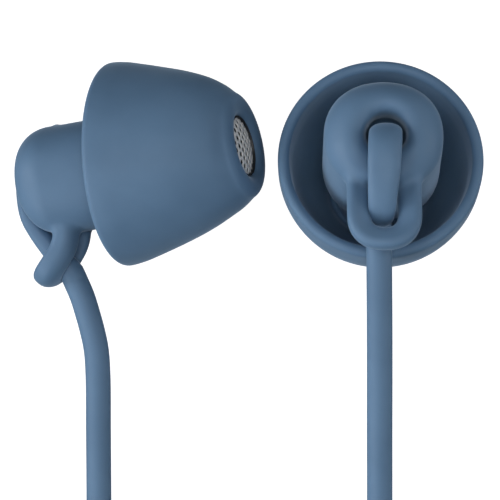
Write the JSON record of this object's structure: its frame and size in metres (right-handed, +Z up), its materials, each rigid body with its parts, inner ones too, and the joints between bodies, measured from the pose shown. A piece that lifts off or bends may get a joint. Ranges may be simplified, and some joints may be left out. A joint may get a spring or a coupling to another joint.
{
  "type": "neckband earphones",
  "caption": "Soft sleep earphones: two silicone in-ear buds on short leads, joined to a U-shaped neckband with a battery pod and a control pod.",
  "frame": {"origin": "on the surface that the set lies on, under the middle of the neckband and its pods", "axes": "+Z up from that surface, +Y towards the back of the neck along the pods, +X towards the control pod"},
  "size_m": [0.127, 0.1774, 0.0182],
  "materials": {
    "silicone": "matte soft-touch silicone, slate blue",
    "pod_plastic": "fine spark-eroded texture, slate blue",
    "black_plastic": "moulded, matte",
    "steel": "pressed sheet steel",
    "wire": "drawn shape-memory wire",
    "foam": "open-cell acoustic foam",
    "film": "thin polymer film",
    "copper": "enamelled copper winding",
    "board": "solder-masked circuit board",
    "cell_foil": "laminated foil pouch",
    "clear": "clear moulded light pipe"
  },
  "bodies": {
    "neckband": {"neckband_sleeve": "silicone", "memory_wire": "wire", "left_pod_lower_shell": "pod_plastic", "left_pod_upper_shell": "pod_plastic", "battery_cell": "cell_foil", "left_pod_collar": "silicone", "left_lead_gland": "silicone", "right_pod_lower_shell": "pod_plastic", "right_pod_upper_shell": "pod_plastic", "volume_up_switch": "steel", "play_switch": "steel", "volume_down_switch": "steel", "control_board": "board", "radio_module": "steel", "microphone": "steel", "usb_socket": "steel", "status_light_pipe": "clear", "right_pod_collar": "silicone", "right_lead_gland": "silicone", "left_lead": "silicone", "right_lead": "silicone"},
    "left_bud": {"left_ear_tip": "silicone", "left_rear_housing": "silicone", "left_lead_strap": "silicone", "left_front_casing": "black_plastic", "left_nozzle_mesh": "steel", "left_acoustic_damper": "foam", "left_diaphragm": "film", "left_voice_coil": "copper", "left_driver_magnet": "steel", "left_driver_frame": "steel"},
    "right_bud": {"right_ear_tip": "silicone", "right_rear_housing": "silicone", "right_lead_strap": "silicone", "right_front_casing": "black_plastic", "right_nozzle_mesh": "steel", "right_acoustic_damper": "foam", "right_diaphragm": "film", "right_voice_coil": "copper", "right_driver_magnet": "steel", "right_driver_frame": "steel"},
    "volume_up": {"volume_up_button": "silicone"},
    "play": {"play_button": "silicone"},
    "volume_down": {"volume_down_button": "silicone"},
    "charging_cover": {"port_cover": "silicone"}
  },
  "joints": [
    {"name": "left_bud_swing", "type": "hinge", "parent": "neckband", "child": "left_bud", "pos_m": [-0.01163, 0.01826, 0.0052], "axis": [0, 0, 1], "range_deg": [-8, 18]},
    {"name": "right_bud_swing", "type": "hinge", "parent": "neckband", "child": "right_bud", "pos_m": [0.00867, 0.0205, 0.0157], "axis": [0, 0, 1], "range_deg": [-18, 8]},
    {"name": "volume_up_press", "type": "slide", "parent": "neckband", "child": "volume_up", "axis": [0, 0, -1], "range_m": [0, 0.0004], "stiffness_N_per_m": 400, "springref_m": -0.0005},
    {"name": "play_press", "type": "slide", "parent": "neckband", "child": "play", "axis": [0, 0, -1], "range_m": [0, 0.0004], "stiffness_N_per_m": 400, "springref_m": -0.0005},
    {"name": "volume_down_press", "type": "slide", "parent": "neckband", "child": "volume_down", "axis": [0, 0, -1], "range_m": [0, 0.0004], "stiffness_N_per_m": 400, "springref_m": -0.0005},
    {"name": "port_cover_open", "type": "hinge", "parent": "neckband", "child": "charging_cover", "pos_m": [0.0635, -0.0657, 0.0045], "axis": [0, 0, -1], "range_deg": [0, 110]}
  ]
}
